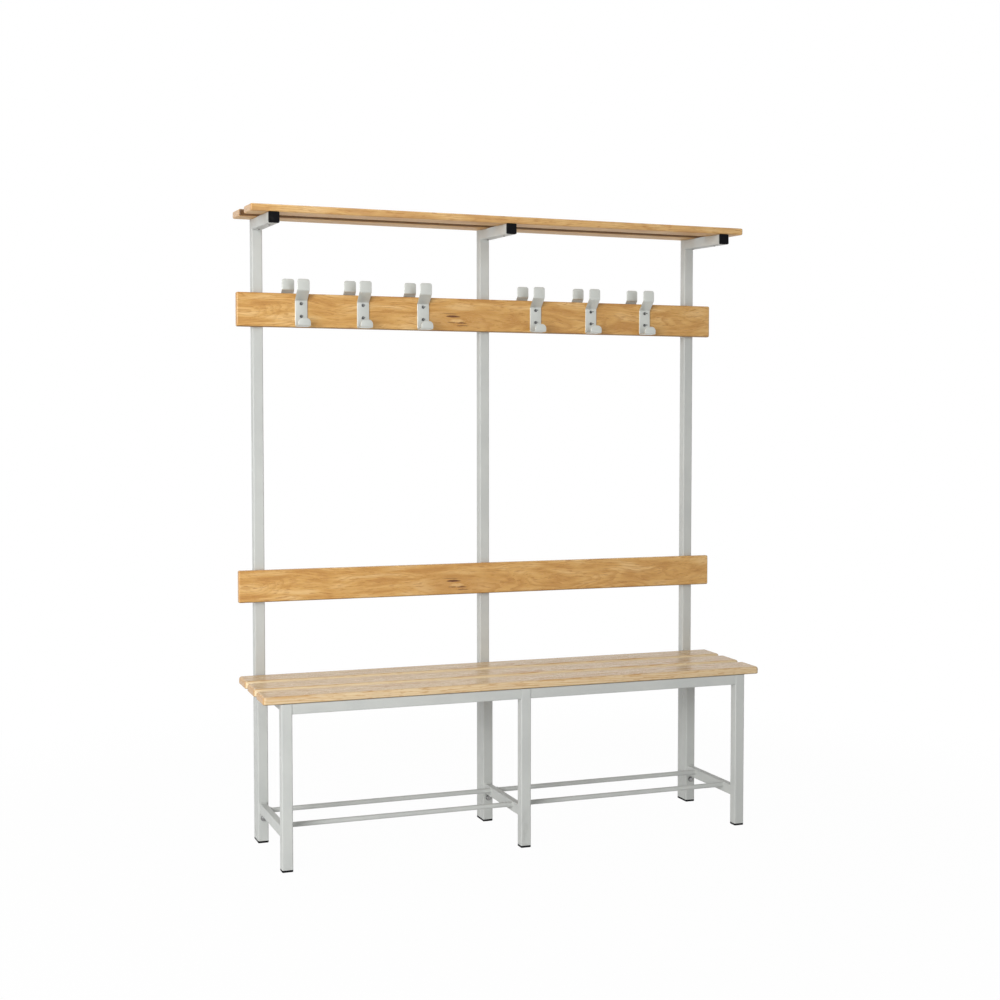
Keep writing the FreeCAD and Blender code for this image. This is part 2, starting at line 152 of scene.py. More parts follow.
def powder_coat(name, full_colour, thin_colour, roughness):
    finish, tree, surface, place = new_finish(name)
    height = add_node(tree, "SeparateXYZ", {0: place}).outputs["Z"]
    patches = eased(tree, cloud(tree, place, coat_patches, detail=3.0).outputs[0], *patch_range)
    grains = eased(tree, cloud(tree, place, coat_grains).outputs[0], *noise_range)
    coat = blended(tree, patches, thin_colour, full_colour)
    coat = blended(tree, product(tree, grains, coat_grain_strength), coat, full_colour)
    low_down = eased(tree, height, scuff_top, 0.0)
    rubs = cloud(tree, place, scuff_rubs, detail=5.0, stretch=rub_stretch).outputs[0]
    rubbed = product(tree, low_down, eased(tree, rubs, *rub_range))
    scuffs = product(tree, rubbed, scuff_strength)
    coat = blended(tree, scuffs, coat, scuff_grey)
    at_foot = eased(tree, height, chip_top, chip_top / 3)
    chips = eased(tree, cloud(tree, place, coat_chips, detail=3.0).outputs[0], *chip_range)
    coat = blended(tree, product(tree, at_foot, chips), coat, bare_steel)
    tree.links.new(coat, surface.inputs["Base Color"])
    gloss = eased(tree, cloud(tree, place, gloss_patches, detail=4.0).outputs[0], *noise_range, *roughness)
    tree.links.new(gloss, surface.inputs["Roughness"])
    embossed(tree, surface, cloud(tree, place, peel_bumps).outputs[0], peel_depth, peel_strength)
    return finish


frame_coat = powder_coat("frame_powder_coat", frame_grey, frame_grey_thin, frame_roughness)
dress("frame_paint", frame_coat)


# Weld beads
# Each rod is welded all round where it meets the side of a lower cross rail, each lower cross rail all round
# to its two legs, and each shelf arm under its end where it meets the upright. The arms slope down a little
# to the front. The beads are rippled by the welder's steps and painted over.
bead_size = 0.0022
bead_steps = 44
bead_sides = 10
bead_ripple = 1.035
collar_size = 0.0026
collar_corner = 2 * collar_size
collar_corner_steps = 5
collar_fall = 0.9 * collar_size
collar_fall_steps = 3
collar_hollow = 0.4
collar_cuts = 3
collar_seed = 4
ripple_height = 0.0003
seam_share = 0.86
seam_sides = 12
seam_seed = 7
shelf_slope = math.radians(2.0)
frame_sides = ("left", "middle", "right")
nearly_parallel = 0.999
plane_tolerance = 1e-5


def started(name, add, **sizes):
    """Deselect everything, add a primitive at its size and place, and leave the place in its mesh."""
    bpy.ops.object.select_all(action="DESELECT")
    add(**sizes)
    shape = bpy.context.object
    shape.name = name
    shape.data.name = name
    bpy.ops.object.transform_apply(location=True, rotation=True, scale=True)
    return shape


def picked(shape, kind, wanted):
    """Go into edit mode with just the wanted points, edges or faces of a shape selected."""
    bpy.ops.object.mode_set(mode="EDIT")
    bpy.ops.mesh.select_mode(type=kind)
    bpy.ops.mesh.select_all(action="DESELECT")
    bpy.ops.object.mode_set(mode="OBJECT")
    lists = {"VERT": shape.data.vertices, "EDGE": shape.data.edges, "FACE": shape.data.polygons}
    for item in lists[kind]:
        item.select = wanted(item)
    bpy.ops.object.mode_set(mode="EDIT")


def runs_along(shape, edge, axis):
    """Whether an edge of a shape is in line with an axis."""
    first, second = (shape.data.vertices[number].co for number in edge.vertices)
    return abs((second - first).normalized().dot(axis)) > nearly_parallel


def in_plane(shape, edge, axis, distance):
    """Whether both ends of an edge lie in a plane square to an axis."""
    ends = (shape.data.vertices[number].co for number in edge.vertices)
    return all(abs(end.dot(axis) - distance) < plane_tolerance for end in ends)


def joined(shapes, name):
    """Make one mesh of several shapes."""
    bpy.ops.object.select_all(action="DESELECT")
    for shape in shapes:
        shape.select_set(True)
    bpy.context.view_layer.objects.active = shapes[0]
    bpy.ops.object.join()
    shapes[0].name = name
    shapes[0].data.name = name
    return shapes[0]


def finished(shape, finish, smooth_angle=35.0):
    """Smooth a shape's faces, give it its finish and let it ride on the bench."""
    bpy.ops.object.select_all(action="DESELECT")
    shape.select_set(True)
    bpy.context.view_layer.objects.active = shape
    bpy.ops.object.shade_smooth_by_angle(angle=math.radians(smooth_angle))
    shape.data.materials.clear()
    shape.data.materials.append(finish)
    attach(shape, "root")
    return shape


def rod_bead(name, centre, radius):
    """A rippled ring round a rod that runs along X."""
    bead = started(name, bpy.ops.mesh.primitive_torus_add, location=centre, rotation=(0, math.pi / 2, 0),
                   major_radius=radius, major_segments=bead_steps,
                   minor_radius=bead_size, minor_segments=bead_sides)

    def on_a_ripple(point):
        turn = math.atan2(point.co.z - centre.z, point.co.y - centre.y) / math.tau
        return round(turn * bead_steps) % 2 == 0

    picked(bead, "VERT", on_a_ripple)
    bpy.ops.transform.resize(value=(1.0, bead_ripple, bead_ripple), center_override=centre)
    bpy.ops.object.mode_set(mode="OBJECT")
    return bead


def rail_collar(name, low, high, end, outward):
    """A bead round the end of a rail that runs along Y, sloped down from the leg on to the rail."""
    middle = Vector(((low.x + high.x) / 2, end + outward * collar_size / 2, (low.z + high.z) / 2))
    size = (high.x - low.x + 2 * collar_size, collar_size, high.z - low.z + 2 * collar_size)
    collar = started(name, bpy.ops.mesh.primitive_cube_add, size=1, location=middle, scale=size)
    y_axis = Vector((0, 1, 0))
    picked(collar, "EDGE", lambda edge: runs_along(collar, edge, y_axis))
    bpy.ops.mesh.bevel(offset=collar_corner, segments=collar_corner_steps, affect="EDGES")
    bpy.ops.object.mode_set(mode="OBJECT")
    face = end + outward * collar_size
    picked(collar, "EDGE", lambda edge: in_plane(collar, edge, y_axis, face))
    bpy.ops.mesh.bevel(offset=collar_fall, segments=collar_fall_steps, affect="EDGES",
                       profile=collar_hollow)
    bpy.ops.mesh.select_all(action="SELECT")
    bpy.ops.mesh.subdivide(number_cuts=collar_cuts)
    bpy.ops.transform.vertex_random(offset=ripple_height, seed=collar_seed)
    bpy.ops.object.mode_set(mode="OBJECT")
    return collar


def arm_seam(name, arm_name, post_front):
    """A straight bead across the underside of a shelf arm, in the corner where it meets its upright."""
    low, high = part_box(arm_name)
    side = high.x - low.x
    reach = post_front - low.y - side * math.sin(shelf_slope)
    corner = Vector(((low.x + high.x) / 2, post_front, low.z + reach * math.tan(shelf_slope)))
    seam = started(name, bpy.ops.mesh.primitive_cylinder_add, vertices=seam_sides, radius=bead_size,
                   depth=side * seam_share, location=corner, rotation=(0, math.pi / 2, 0))
    picked(seam, "EDGE", lambda edge: runs_along(seam, edge, Vector((1, 0, 0))))
    bpy.ops.mesh.subdivide(number_cuts=bead_steps // 2)
    bpy.ops.mesh.select_all(action="SELECT")
    bpy.ops.transform.vertex_random(offset=ripple_height, seed=seam_seed)
    bpy.ops.object.mode_set(mode="OBJECT")
    return seam


def nodes_named(words):
    return [name for name in sorted(frame["nodes"]) if words in name]


rod_beads = []
for rod_name in nodes_named("shoe_rod"):
    low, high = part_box(rod_name)
    for end in (low.x, high.x):
        middle = Vector((end, (low.y + high.y) / 2, (low.z + high.z) / 2))
        rod_beads.append(rod_bead("rod_bead", middle, (high.z - low.z) / 2))
finished(joined(rod_beads, "rod_weld_beads"), frame_coat)

rail_beads = []
for rail_name in nodes_named("lower_cross_rail"):
    low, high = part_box(rail_name)
    rail_beads.append(rail_collar("rail_bead", low, high, low.y, 1))
    rail_beads.append(rail_collar("rail_bead", low, high, high.y, -1))
finished(joined(rail_beads, "cross_rail_weld_beads"), frame_coat)

arm_beads = []
for side_name in frame_sides:
    post_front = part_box("upright_" + side_name)[0].y
    arm_beads.append(arm_seam("arm_bead", "shelf_arm_" + side_name, post_front))
finished(joined(arm_beads, "arm_weld_beads"), frame_coat)


# Feet and end caps
# Every leg and upright stands on a black plastic foot, and each shelf arm is closed at the front by a black
# plastic cap. They are moulded, with a slightly grainy skin, and their blocks are pushed into the tubes.
plastic_black = (0.004, 0.004, 0.005, 1.0)
plastic_worn = (0.012, 0.012, 0.012, 1.0)
plastic_gloss = 0.08
plastic_roughness = (0.55, 0.70)
plastic_rubs = 60.0
plastic_rub_range = (0.5, 0.75)
plastic_patches = 90.0
plastic_grains = 1500.0
plastic_grain_depth = 0.0002
plastic_grain_strength = 0.2
cap_flange = 0.005
cap_corner = 0.003
cap_corner_steps = 6
cap_edge = 0.001
cap_edge_steps = 4
cap_rim_share = 0.74
cap_dish_share = 0.94
cap_dish = 0.0010
cap_block_inset = 0.0017
cap_block = 0.010
cap_smoothing = 25.0


def moulded_plastic(name):
    finish, tree, surface, place = new_finish(name)
    rubs = eased(tree, cloud(tree, place, plastic_rubs, detail=5.0).outputs[0], *plastic_rub_range)
    tree.links.new(blended(tree, rubs, plastic_black, plastic_worn), surface.inputs["Base Color"])
    patches = cloud(tree, place, plastic_patches, detail=3.0).outputs[0]
    tree.links.new(eased(tree, patches, *noise_range, *plastic_roughness), surface.inputs["Roughness"])
    surface.inputs["Specular IOR Level"].default_value = plastic_gloss
    grains = cloud(tree, place, plastic_grains).outputs[0]
    embossed(tree, surface, grains, plastic_grain_depth, plastic_grain_strength)
    return finish


def end_cap(name, arm_name):
    """A flange with rounded corners, a dished face and a block behind it, sloping with the arm it closes."""
    low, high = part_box(arm_name)
    side = high.x - low.x
    top = low.z + side * math.cos(shelf_slope)
    middle = Vector(((low.x + high.x) / 2, low.y - cap_flange / 2, top - side / 2))
    size = (side, cap_flange, side)
    cap = started(name, bpy.ops.mesh.primitive_cube_add, size=1, location=middle, scale=size)
    y_axis = Vector((0, 1, 0))
    picked(cap, "EDGE", lambda edge: runs_along(cap, edge, y_axis))
    bpy.ops.mesh.bevel(offset=cap_corner, segments=cap_corner_steps, affect="EDGES")
    bpy.ops.object.mode_set(mode="OBJECT")
    picked(cap, "EDGE", lambda edge: in_plane(cap, edge, y_axis, low.y - cap_flange))
    bpy.ops.mesh.bevel(offset=cap_edge, segments=cap_edge_steps, affect="EDGES")
    bpy.ops.object.mode_set(mode="OBJECT")
    picked(cap, "FACE", lambda face: face.normal.y < -nearly_parallel)
    for share, depth in ((cap_rim_share, 0.0), (cap_dish_share, cap_dish)):
        bpy.ops.mesh.extrude_region_move(TRANSFORM_OT_translate={"value": (0, depth, 0)})
        bpy.ops.transform.resize(value=(share, 1, share))
    bpy.ops.object.mode_set(mode="OBJECT")

    def on_the_arm(face):
        return face.normal.y > nearly_parallel and abs(face.center.y - low.y) < plane_tolerance

    picked(cap, "FACE", on_the_arm)
    bpy.ops.mesh.inset(thickness=cap_block_inset)
    bpy.ops.mesh.extrude_region_move(TRANSFORM_OT_translate={"value": (0, cap_block, 0)})
    bpy.ops.mesh.select_all(action="SELECT")
    bpy.ops.transform.rotate(value=shelf_slope, orient_axis="X", center_override=(middle.x, low.y, top))
    bpy.ops.object.mode_set(mode="OBJECT")
    return cap


black_moulding = moulded_plastic("black_moulding")
dress("black_plastic", black_moulding)
for side_name in frame_sides:
    cap_name = "arm_end_cap_" + side_name
    cap = end_cap(cap_name + "_moulding", "shelf_arm_" + side_name)
    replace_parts(finished(cap, black_moulding, cap_smoothing), cap_name)


# Bolts, nuts, washers and wood screws
# Hexagon bolts clamp each upright to its rear leg, and wood screws hold planks to tubes. They are turned
# and rolled from steel wire and bright zinc plated, with a faint straw and blue cast.
zinc_pale = (0.26, 0.265, 0.27, 1.0)
zinc_straw = (0.23, 0.22, 0.20, 1.0)
zinc_roughness = (0.22, 0.38)
zinc_casts = 130.0
zinc_cast_range = (0.4, 0.7)
zinc_patches = 300.0
zinc_grains = 900.0
zinc_grain_depth = 0.0002
zinc_grain_strength = 0.1


def zinc_plate(name, pale, straw, roughness):
    finish, tree, surface, place = new_finish(name)
    cast = eased(tree, cloud(tree, place, zinc_casts, detail=3.0).outputs[0], *zinc_cast_range)
    tree.links.new(blended(tree, cast, pale, straw), surface.inputs["Base Color"])
    surface.inputs["Metallic"].default_value = 1.0
    gloss = eased(tree, cloud(tree, place, zinc_patches, detail=4.0).outputs[0], *noise_range, *roughness)
    tree.links.new(gloss, surface.inputs["Roughness"])
    grains = cloud(tree, place, zinc_grains, detail=3.0).outputs[0]
    embossed(tree, surface, grains, zinc_grain_depth, zinc_grain_strength)
    return finish


dress("zinc_steel", zinc_plate("zinc_plate", zinc_pale, zinc_straw, zinc_roughness))


# Seat slats
# Three planed pine planks with rounded edges lie along the seat, screwed up from the cross rails. They are
# flat sawn, so the rings draw long arches on the wide face, and clear lacquered to a satin gloss. Their
# colour is paled towards cream as painted sheen, their front edges carry a painted highlight, and their
# undersides painted shade.
deep_wood = (0.55, 0.275, 0.072, 1.0)
honey_wood = (0.665, 0.370, 0.108, 1.0)
light_wood = (0.725, 0.430, 0.143, 1.0)
pale_wood = (0.810, 0.530, 0.225, 1.0)
fleck_wood = (0.47, 0.215, 0.055, 1.0)
# Painted light: cream for painted sheen, the paler cream for painted highlight on front edges, and the dark
# brown for painted shade under planks and in the shelf slot
sheen_cream_wood = (0.785, 0.655, 0.450, 1.0)
painted_highlight_wood = (0.870, 0.715, 0.470, 1.0)
painted_shade_brown = (0.075, 0.028, 0.008, 1.0)
knot_bark = (0.135, 0.042, 0.008, 1.0)
wood_shades = [(0.35, deep_wood), (0.46, honey_wood), (0.54, light_wood), (0.66, pale_wood)]
# Seat painted light: how far it is paled as painted sheen, how dark its underside is painted as shade, and
# how far each front edge is painted with a highlight
seat_painted_sheen = 0.65
seat_gloss = 0.14
seat_painted_under_shade = 0.75
front_edge_painted_highlight = 0.25
rear_edge_painted_highlight = 0.85
straight_sway = 0.030
lacquer_gloss = 0.5
lacquer_range = (0.3, 0.75)
lacquer_roughness = (0.20, 0.32)
bare_roughness = 0.5
wood_relief_depth = 0.0003
wood_relief_strength = 0.16

# How many patches to the metre the wood has along the grain, across it and through it
sway_patches = (2.6, 7.0, 7.0)
figure_patches = (7.5, 52.0, 52.0)
wander_patches = (9.0, 70.0, 70.0)
region_patches = (3.0, 15.0, 15.0)
fleck_patches = (32.0, 280.0, 280.0)
fibre_patches = (30.0, 1500.0, 1500.0)
fray_patches = (60.0, 160.0, 160.0)

# Rings, flecks and pores, with the range of noise in which each shows, and which way each face has to look
ring_width = 0.0042
ring_wander = 0.005
ring_rise = (0.3, 0.85)
ring_fall = (1.0, 0.9)
ring_relief = 0.6
region_range = (0.38, 0.66)
region_strength = (0.18, 0.8)
fleck_range = (0.54, 0.68)
fleck_strength = 0.75
pore_range = (0.52, 0.8)
pore_strength = 0.3
end_facing = (0.5, 0.95)
end_shade = 0.6
front_facing = (-0.4, -0.9)
down_facing = (-0.2, -0.8)

# A knot, and the streaks by it: each one's place from the knot, its size along and across, and its strength
knot_size = (0.024, 0.0052)
knot_reach = (0.120, 0.030)
knot_push = -0.75
knot_shade = 0.7
eye_range = (1.2, 0.3)
eye_strength = 0.7
crack_streak = ((-0.013, 0.0125), (0.022, 0.0032), 1.0)
rim_streaks = (((0.012, -0.0064), (0.016, 0.0024), 0.85), ((-0.016, -0.0056), (0.012, 0.0020), 0.55))
far_streaks = (((0.018, -0.0138), (0.020, 0.0018), 0.65), ((-0.019, 0.0205), (0.026, 0.0020), 0.5))
streak_range = (1.4, 0.3)
fray_reach = (0.022, 0.0045)


def ramped(tree, share, stops):
    """A run of colours, each at its own share."""
    ramp = add_node(tree, "ValToRGB", {"Fac": share})
    elements = ramp.color_ramp.elements
    elements[0].position, elements[0].color = stops[0]
    elements[1].position, elements[1].color = stops[-1]
    for position, colour in stops[1:-1]:
        elements.new(position).color = colour
    return ramp.outputs["Color"]


def drawn_out(tree, place, patches, detail=3.0):
    """Noise with so many patches to the metre along each axis."""
    return cloud(tree, place, 1.0, detail, patches)


def scaled_distance(tree, along, across, place, size):
    """The square of the distance from a place on a plank, in a measure that is longer along the grain."""
    first = calculated(tree, "DIVIDE", calculated(tree, "SUBTRACT", along, place[0]), size[0])
    second = calculated(tree, "DIVIDE", calculated(tree, "SUBTRACT", across, place[1]), size[1])
    return calculated(tree, "ADD", product(tree, first, first), product(tree, second, second))


def nearness(tree, along, across, knot):
    far = scaled_distance(tree, along, across, knot, knot_reach)
    return calculated(tree, "EXPONENT", product(tree, far, -1.0))


def pushed_aside(tree, along, across, knot):
    """How far the grain steps aside to pass a knot."""
    offset = calculated(tree, "SUBTRACT", across, knot[1])
    return product(tree, product(tree, offset, nearness(tree, along, across, knot)), knot_push)


def with_knot(tree, colour, along, across, knot):
    """Paint the darker wood round a knot, its pale eye, and the dark streaks of bark above and below it."""
    shade = product(tree, nearness(tree, along, across, knot), knot_shade)
    colour = blended(tree, shade, colour, deep_wood)
    far = scaled_distance(tree, along, across, knot, knot_size)
    colour = blended(tree, product(tree, eased(tree, far, *eye_range), eye_strength), colour, pale_wood)
    for shift, size, strength in (crack_streak, *rim_streaks, *far_streaks):
        streak_place = (knot[0] + shift[0], knot[1] + shift[1])
        streak = eased(tree, scaled_distance(tree, along, across, streak_place, size), *streak_range)
        colour = blended(tree, product(tree, streak, strength), colour, knot_bark)
    return colour


def shaken(tree, value, noise, reach):
    """A value with a noise of so much reach added, half to each side."""
    return calculated(tree, "MULTIPLY_ADD", noise, reach, calculated(tree, "SUBTRACT", value, reach / 2))


def with_knots(tree, colour, lying, knots):
    """Paint a plank's knots, with frayed outlines."""
    axes = add_node(tree, "SeparateXYZ", {0: lying})
    fray = add_node(tree, "SeparateColor", {0: drawn_out(tree, lying, fray_patches).outputs[1]})
    along = shaken(tree, axes.outputs["X"], fray.outputs[0], fray_reach[0])
    across = shaken(tree, axes.outputs["Y"], fray.outputs[1], fray_reach[1])
    for knot in knots:
        colour = with_knot(tree, colour, along, across, knot)
    return colour


def on_plank(tree, place, node_name, standing):
    """The place measured from a plank's middle: along it, across its wide face and out of that face."""
    low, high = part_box(node_name)
    turn = (math.pi / 2 if standing else 0.0, 0.0, 0.0)
    lie = {"Vector": place, "Location": (low + high) / 2, "Rotation": turn}
    return add_node(tree, "Mapping", lie, vector_type="TEXTURE").outputs[0]


def in_trunk(tree, lying, core, drift, sway_size, knots):
    """Where each point lies in the tree and how far from its middle. The trunk sways, and the grain steps
    round knots."""
    axes = add_node(tree, "SeparateXYZ", {0: lying})
    along, across, deep = (axes.outputs[axis] for axis in "XYZ")
    sway = add_node(tree, "SeparateColor", {0: drawn_out(tree, lying, sway_patches, detail=2.0).outputs[1]})
    side = calculated(tree, "MULTIPLY_ADD", sway.outputs[0], sway_size, -sway_size / 2 - core[0])
    side = calculated(tree, "ADD", side, across)
    for knot in knots:
        side = calculated(tree, "ADD", side, pushed_aside(tree, along, across, knot))
    behind = calculated(tree, "MULTIPLY_ADD", sway.outputs[1], sway_size, -sway_size / 2 - core[1])
    behind = calculated(tree, "ADD", behind, calculated(tree, "MULTIPLY_ADD", along, drift, deep))
    trunk = add_node(tree, "CombineXYZ", {"X": along, "Y": side, "Z": behind}).outputs[0]
    spoke = add_node(tree, "CombineXYZ", {"Y": side, "Z": behind}).outputs[0]
    return trunk, add_node(tree, "VectorMath", {0: spoke}, operation="LENGTH").outputs["Value"]


def late_wood(tree, lying, trunk, radius):
    """The dark part of each year's ring, clearer in some regions than in others."""
    wander = drawn_out(tree, trunk, wander_patches).outputs[0]
    radius = calculated(tree, "MULTIPLY_ADD", wander, ring_wander, radius)
    ring = calculated(tree, "FRACT", calculated(tree, "DIVIDE", radius, ring_width))
    late = product(tree, eased(tree, ring, *ring_rise), eased(tree, ring, *ring_fall))
    regions = eased(tree, drawn_out(tree, lying, region_patches).outputs[0], *region_range, *region_strength)
    return product(tree, late, regions)


def wood_colour(tree, trunk, late, fibres, pale):
    """Patches of light and dark wood, rings over them, then short dark flecks and fine pores."""
    figure = drawn_out(tree, trunk, figure_patches, detail=5.0).outputs[0]
    # Painted sheen: the wood is paled towards cream by the given share
    colour = blended(tree, pale, ramped(tree, figure, wood_shades), sheen_cream_wood)
    colour = blended(tree, late, colour, deep_wood)
    flecks = eased(tree, drawn_out(tree, trunk, fleck_patches).outputs[0], *fleck_range)
    colour = blended(tree, product(tree, flecks, fleck_strength), colour, fleck_wood)
    pores = product(tree, eased(tree, fibres, *pore_range), pore_strength)
    return blended(tree, pores, colour, deep_wood)


def with_end_grain_and_painted_light(tree, colour, edge, painted_under_shade):
    """Darken the sawn ends, paint a highlight or shadow on the front edge and paint shade on the underside.
    Gives what faces down too.
    """
    facing = add_node(tree, "SeparateXYZ", {0: add_node(tree, "NewGeometry").outputs["Normal"]})
    end_grain = eased(tree, calculated(tree, "ABSOLUTE", facing.outputs["X"]), *end_facing)
    colour = blended(tree, product(tree, end_grain, end_shade), colour, deep_wood)
    # Painted highlight or painted shadow on faces that look to the front
    front = eased(tree, facing.outputs["Y"], *front_facing)
    colour = blended(tree, product(tree, front, edge[1]), colour, edge[0])
    # Painted shade on faces that look down
    below = eased(tree, facing.outputs["Z"], *down_facing)
    return blended(tree, product(tree, below, painted_under_shade), colour, painted_shade_brown), below


def pine(name, node_name, standing, core, drift, sway_size,
         pale=0.0, knots=(), edge=(painted_shade_brown, 0.0), painted_under_shade=0.0, gloss=lacquer_gloss):
    """Pine for one plank, in satin lacquer that follows the fibres a little, and bare underneath.
    Core is where the tree's middle lies, across and behind the wide face. Pale is how far the wood is paled
    towards cream as painted sheen, edge the colour and share of the painted highlight or painted shadow on
    its front edge, and the share of painted shade below how dark it is painted underneath."""
    finish, tree, surface, place = new_finish(name)
    lying = on_plank(tree, place, node_name, standing)
    trunk, radius = in_trunk(tree, lying, core, drift, sway_size, knots)
    late = late_wood(tree, lying, trunk, radius)
    fibres = drawn_out(tree, trunk, fibre_patches).outputs[0]
    colour = with_knots(tree, wood_colour(tree, trunk, late, fibres, pale), lying, knots)
    colour, below = with_end_grain_and_painted_light(tree, colour, edge, painted_under_shade)
    tree.links.new(colour, surface.inputs["Base Color"])
    surface.inputs["Specular IOR Level"].default_value = gloss
    lacquer = eased(tree, fibres, *lacquer_range, *lacquer_roughness)
    bare = product(tree, below, bare_roughness)
    tree.links.new(calculated(tree, "MAXIMUM", lacquer, bare), surface.inputs["Roughness"])
    grain = calculated(tree, "MULTIPLY_ADD", late, ring_relief, fibres)
    embossed(tree, surface, grain, wood_relief_depth, wood_relief_strength)
    return finish


def panel(node_name, standing, **wood):
    finish = pine(node_name + "_pine", node_name, standing, **wood)
    frame["nodes"][node_name].material_slots[0].material = finish


seat_wood = {"sway_size": straight_sway, "pale": seat_painted_sheen, "painted_under_shade": seat_painted_under_shade, "gloss": seat_gloss}
# Painted highlight on the slats' front edges, stronger on the rear two
front_edge = (painted_highlight_wood, front_edge_painted_highlight)
rear_edge = (painted_highlight_wood, rear_edge_painted_highlight)
panel("seat_slat_1", False, core=(0.012, -0.062), drift=0.020, edge=front_edge, **seat_wood)
panel("seat_slat_2", False, core=(-0.020, -0.075), drift=-0.016, edge=rear_edge, **seat_wood)
panel("seat_slat_3", False, core=(0.006, -0.055), drift=0.024, edge=rear_edge, **seat_wood)


# Backrest and hook boards
# The backrest and the front hook board are pine planks set on edge against the uprights and screwed from
# inside them. A shorter plank behind the uprights carries the rear row of hooks.
wavy_sway = 0.075
# How dark the boards' undersides are painted, as painted shade
board_painted_under_shade = 0.6
board_knot = (-0.094, -0.0175)
rear_board_knot = (0.33, 0.012)

board_wood = {"sway_size": wavy_sway, "knots": [board_knot], "painted_under_shade": board_painted_under_shade}
rear_board_wood = {"sway_size": wavy_sway, "knots": [rear_board_knot]}
panel("backrest_board", True, core=(-0.010, -0.060), drift=0.018, **board_wood)
panel("hook_board", True, core=(-0.012, -0.066), drift=0.021, **board_wood)
panel("rear_hook_board", True, core=(0.015, -0.070), drift=-0.019, **rear_board_wood)


# Shelf slats
# Two pine planks lie on the shelf arms with a wide slot between them, screwed up through the arms.
# They have the same lacquer as the seat and a little painted sheen, and the rear one's front edge has
# painted shadow in the slot.
# Painted sheen on the shelf, and painted shadow on the rear slat's front edge
shelf_painted_sheen = 0.12
slot_painted_shadow = (painted_shade_brown, 0.9)

shelf_wood = {"sway_size": straight_sway, "pale": shelf_painted_sheen}
panel("front_shelf_slat", False, core=(-0.014, -0.058), drift=0.017, **shelf_wood)
panel("rear_shelf_slat", False, core=(0.018, -0.064), drift=-0.022, edge=slot_painted_shadow, **shelf_wood)


# Coat hooks
# Each hook is one strip of steel with rounded ends, bent forward to an upright tip and, in the front row,
# turned out below to a prong. It has softened edges and a light grey powder coat with aluminium flake.
hook_grey = (0.595, 0.612, 0.580, 1.0)
hook_grey_thin = (0.570, 0.587, 0.555, 1.0)
hook_metal = 0.65
hook_roughness = (0.34, 0.46)
hooks_in_row = 6
hook_width = 0.036
hook_thickness = 0.003
hook_plate = 0.075
hook_neck_rise = 0.028
hook_neck_reach = 0.029
hook_tip = 0.031
hook_prong_reach = 0.044
hook_prong_rise = 0.023
hook_neck_bend = 0.007
hook_prong_bend = 0.004
hook_tip_corner = 0.007
hook_prong_corner = 0.013
hook_softening = 0.0009
softening_steps = 3
softened_angle = math.radians(40)
rear_hook_cut = 0.015
bend_steps = 10
corner_steps = 8
same_point = 1e-6
neck_lean = math.atan2(hook_neck_reach, hook_neck_rise)
neck_setback = hook_neck_bend * math.tan(neck_lean / 2)


def bent(angle, y, z):
    """Carry the strip's open edge round a bend about a line along X. Spin counts turns the other way."""
    bpy.ops.mesh.spin(steps=bend_steps, angle=-angle, center=(0, y, z), axis=(1, 0, 0))


def run_on(y, z):
    """Carry the strip's open edge straight on."""
    bpy.ops.mesh.extrude_region_move(TRANSFORM_OT_translate={"value": (0, y, z)})


def rounded_end(strip, height, radius):
    """Round the two corners at an end of the strip."""
    bpy.ops.object.mode_set(mode="OBJECT")
    picked(strip, "VERT", lambda point: abs(point.co.z - height) < same_point)
    bpy.ops.mesh.bevel(offset=radius, segments=corner_steps, affect="VERTICES")
    bpy.ops.object.mode_set(mode="OBJECT")


def flat_start(name, y, low, high):
    """The strip's first straight length, upright, as one face."""
    middle = (0, y, (low + high) / 2)
    strip = started(name, bpy.ops.mesh.primitive_plane_add, size=hook_width, location=middle,
                    rotation=(math.pi / 2, 0, 0))
    picked(strip, "FACE", lambda face: True)
    bpy.ops.transform.resize(value=(1, 1, (high - low) / hook_width), center_override=middle)
    bpy.ops.object.mode_set(mode="OBJECT")
    return strip


def open_edge(strip, height):
    """Select the edge at one end of the strip's first length."""
    picked(strip, "EDGE", lambda edge: in_plane(strip, edge, Vector((0, 0, 1)), height))


def neck_and_tip(strip):
    """Bend the strip forward from the top of its plate and up again to its tip."""
    middle = hook_thickness / 2
    slope = math.hypot(hook_neck_reach, hook_neck_rise) - 2 * neck_setback
    bent(neck_lean, -middle - hook_neck_bend, hook_plate - neck_setback)
    run_on(-slope * math.sin(neck_lean), slope * math.cos(neck_lean))
    turn_y = -middle - hook_neck_reach + hook_neck_bend
    bent(-neck_lean, turn_y, hook_plate + hook_neck_rise + neck_setback)
    run_on(0, hook_tip - neck_setback)
    rounded_end(strip, hook_plate + hook_neck_rise + hook_tip, hook_tip_corner)


def thickened(strip):
    """Give the bent strip its thickness and soften its edges."""
    picked(strip, "VERT", lambda point: True)
    bpy.ops.mesh.remove_doubles(threshold=same_point)
    bpy.ops.mesh.normals_make_consistent(inside=False)
    bpy.ops.object.mode_set(mode="OBJECT")
    bpy.ops.object.modifier_add(type="SOLIDIFY")
    strip.modifiers[-1].thickness = hook_thickness
    strip.modifiers[-1].offset = 0.0
    strip.modifiers[-1].use_even_offset = True
    bpy.ops.object.modifier_apply(modifier=strip.modifiers[-1].name)
    bpy.ops.object.modifier_add(type="BEVEL")
    strip.modifiers[-1].width = hook_softening
    strip.modifiers[-1].segments = softening_steps
    strip.modifiers[-1].limit_method = "ANGLE"
    strip.modifiers[-1].angle_limit = softened_angle
    bpy.ops.object.modifier_apply(modifier=strip.modifiers[-1].name)
    return strip


